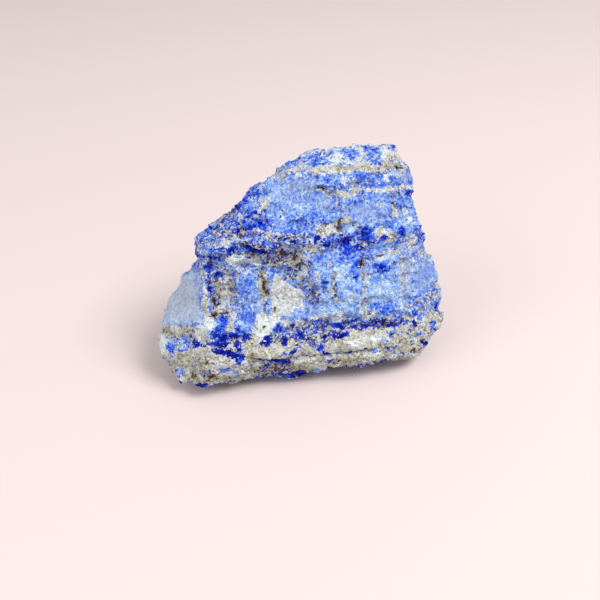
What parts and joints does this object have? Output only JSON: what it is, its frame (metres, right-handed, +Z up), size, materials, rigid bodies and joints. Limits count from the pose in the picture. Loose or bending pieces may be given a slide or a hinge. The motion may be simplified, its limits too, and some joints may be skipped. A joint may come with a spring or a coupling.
{
  "type": "rough lapis lazuli",
  "caption": "Rough broken lump of banded blue lapis lazuli with white calcite, resting on a small flat spot.",
  "frame": {"origin": "on the flat spot that the lump rests on, under the middle of its length and depth", "axes": "+X along the lump's length, +Z up, and the broad broken face looks towards -Y"},
  "size_m": [0.0859, 0.0435, 0.0613],
  "materials": {
    "lapis_rock": "rough broken surface, matt, banded blue with white calcite and tan veins"
  },
  "bodies": {
    "root": {"lapis_lump": "lapis_rock"}
  },
  "joints": []
}
